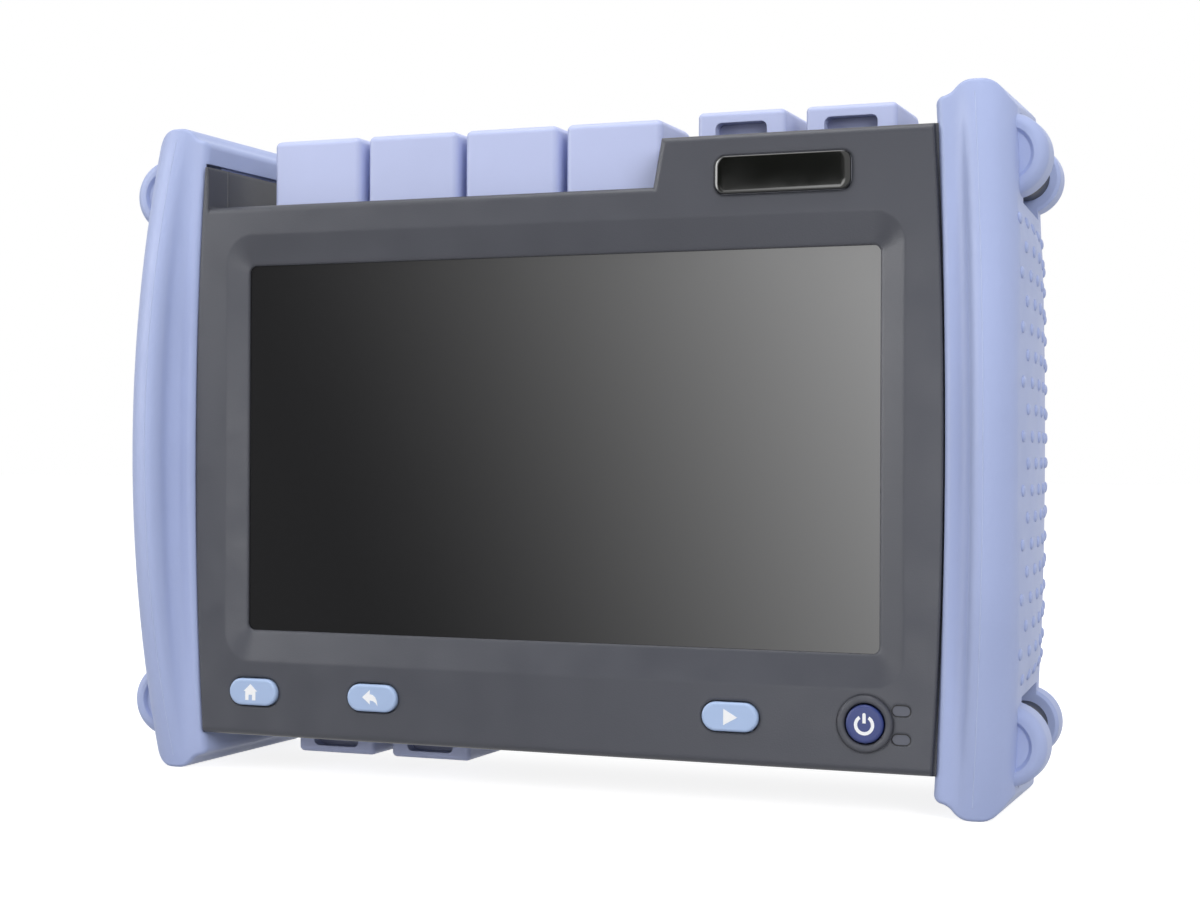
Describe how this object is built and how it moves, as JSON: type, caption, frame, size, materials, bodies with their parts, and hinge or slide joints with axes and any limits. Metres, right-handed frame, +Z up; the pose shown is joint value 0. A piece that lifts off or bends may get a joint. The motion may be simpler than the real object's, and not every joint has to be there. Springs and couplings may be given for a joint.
{
  "type": "optical time domain reflectometer",
  "caption": "Handheld fibre tester: wide screen in a dark cover, soft end bumpers with strap bars, hinged port caps above, keys below the screen, folding stand and battery door behind.",
  "frame": {"origin": "middle of the footprint, on the surface that the bumpers stand on", "axes": "+Z up, -Y out of the screen, +X to the right as seen by the user"},
  "size_m": [0.2252, 0.065, 0.1564],
  "materials": {
    "bumper_rubber": "soft matt periwinkle rubber",
    "cover_plastic": "fine textured grey violet plastic",
    "cap_plastic": "satin periwinkle plastic",
    "display_glass": "glossy dark touch glass",
    "key_plastic": "light blue satin key",
    "power_plastic": "navy satin key",
    "badge_gloss": "domed black gloss",
    "black_plastic": "black moulding",
    "lamp_plastic": "smoked light pipe",
    "steel": "zinc plated steel",
    "aluminium": "plain aluminium",
    "brass": "nickel plated brass",
    "board": "green circuit board",
    "foam": "black foam",
    "battery_wrap": "dark blue wrap"
  },
  "bodies": {
    "instrument": {"badge_plate": "badge_gloss", "battery_connector": "black_plastic", "battery_pack": "battery_wrap", "bottom_cover_pins": "steel", "bottom_hinge_rail": "cover_plastic", "cap_hinge_rail": "cover_plastic", "cap_hinge_rod": "steel", "case_screws": "steel", "charging_pin": "brass", "charging_socket": "black_plastic", "display_bracket": "steel", "display_gasket": "foam", "display_screws": "steel", "display_window": "display_glass", "ethernet_socket": "steel", "fault_locator_port": "brass", "front_cover": "cover_plastic", "keypad_board": "board", "lcd_module": "aluminium", "left_bumper": "bumper_rubber", "left_bumper_core": "black_plastic", "main_board": "board", "middle_frame": "cover_plastic", "optical_module": "aluminium", "optical_port_panel": "aluminium", "otdr_port_1": "brass", "otdr_port_2": "brass", "power_button_ring": "cover_plastic", "power_meter_port": "brass", "rear_housing": "cover_plastic", "right_bumper": "bumper_rubber", "right_bumper_core": "black_plastic", "stand_pins": "steel", "standoffs": "brass", "status_windows": "lamp_plastic", "strap_bars": "black_plastic", "tact_switches": "black_plastic", "top_cover_pins": "steel", "top_hinge_rail": "cover_plastic", "usb_device_socket": "steel", "usb_socket": "steel"},
    "home_key": {"home_button": "key_plastic"},
    "back_key": {"back_button": "key_plastic"},
    "quick_test_key": {"quick_test_button": "key_plastic"},
    "power_key": {"power_button": "power_plastic"},
    "cap_1": {"port_cap_1": "cap_plastic"},
    "cap_2": {"port_cap_2": "cap_plastic"},
    "cap_3": {"port_cap_3": "cap_plastic"},
    "cap_4": {"port_cap_4": "cap_plastic"},
    "usb_lid": {"usb_cover": "cap_plastic"},
    "ethernet_lid": {"ethernet_cover": "cap_plastic"},
    "charging_lid": {"charging_cover": "cap_plastic"},
    "usb_device_lid": {"usb_device_cover": "cap_plastic"},
    "door": {"battery_door": "cover_plastic", "battery_door_screws": "steel"},
    "folding_stand": {"stand": "black_plastic", "stand_foot": "foam"}
  },
  "joints": [
    {"name": "home_button_press", "type": "slide", "parent": "instrument", "child": "home_key", "axis": [0, 1, 0], "range_m": [0, 0.0009], "stiffness_N_per_m": 1200, "springref_m": -0.0004},
    {"name": "back_button_press", "type": "slide", "parent": "instrument", "child": "back_key", "axis": [0, 1, 0], "range_m": [0, 0.0009], "stiffness_N_per_m": 1200, "springref_m": -0.0004},
    {"name": "quick_test_button_press", "type": "slide", "parent": "instrument", "child": "quick_test_key", "axis": [0, 1, 0], "range_m": [0, 0.0009], "stiffness_N_per_m": 1200, "springref_m": -0.0004},
    {"name": "power_button_press", "type": "slide", "parent": "instrument", "child": "power_key", "axis": [0, 1, 0], "range_m": [0, 0.0009], "stiffness_N_per_m": 1200, "springref_m": -0.0004},
    {"name": "port_cap_1_hinge", "type": "hinge", "parent": "instrument", "child": "cap_1", "pos_m": [-0.0643, 0.0117, 0.1384], "axis": [-1, 0, 0], "range_deg": [0, 100]},
    {"name": "port_cap_2_hinge", "type": "hinge", "parent": "instrument", "child": "cap_2", "pos_m": [-0.03855, 0.0117, 0.1384], "axis": [-1, 0, 0], "range_deg": [0, 100]},
    {"name": "port_cap_3_hinge", "type": "hinge", "parent": "instrument", "child": "cap_3", "pos_m": [-0.0128, 0.0117, 0.1384], "axis": [-1, 0, 0], "range_deg": [0, 100]},
    {"name": "port_cap_4_hinge", "type": "hinge", "parent": "instrument", "child": "cap_4", "pos_m": [0.01295, 0.0117, 0.1384], "axis": [-1, 0, 0], "range_deg": [0, 100]},
    {"name": "usb_cover_hinge", "type": "hinge", "parent": "instrument", "child": "usb_lid", "pos_m": [0.04365, 0.0095, 0.1498], "axis": [-1, 0, 0], "range_deg": [0, 110]},
    {"name": "ethernet_cover_hinge", "type": "hinge", "parent": "instrument", "child": "ethernet_lid", "pos_m": [0.06885, 0.0095, 0.1498], "axis": [-1, 0, 0], "range_deg": [0, 110]},
    {"name": "charging_cover_hinge", "type": "hinge", "parent": "instrument", "child": "charging_lid", "pos_m": [-0.0582, 0.0095, 0.0066], "axis": [1, 0, 0], "range_deg": [0, 110]},
    {"name": "usb_device_cover_hinge", "type": "hinge", "parent": "instrument", "child": "usb_device_lid", "pos_m": [-0.033, 0.0095, 0.0066], "axis": [1, 0, 0], "range_deg": [0, 110]},
    {"name": "stand_hinge", "type": "hinge", "parent": "instrument", "child": "folding_stand", "pos_m": [0, 0.0275, 0.0922], "axis": [1, 0, 0], "range_deg": [0, 55]},
    {"name": "battery_door_removal", "type": "slide", "parent": "instrument", "child": "door", "axis": [0, 1, 0], "range_m": [0, 0.02]}
  ]
}
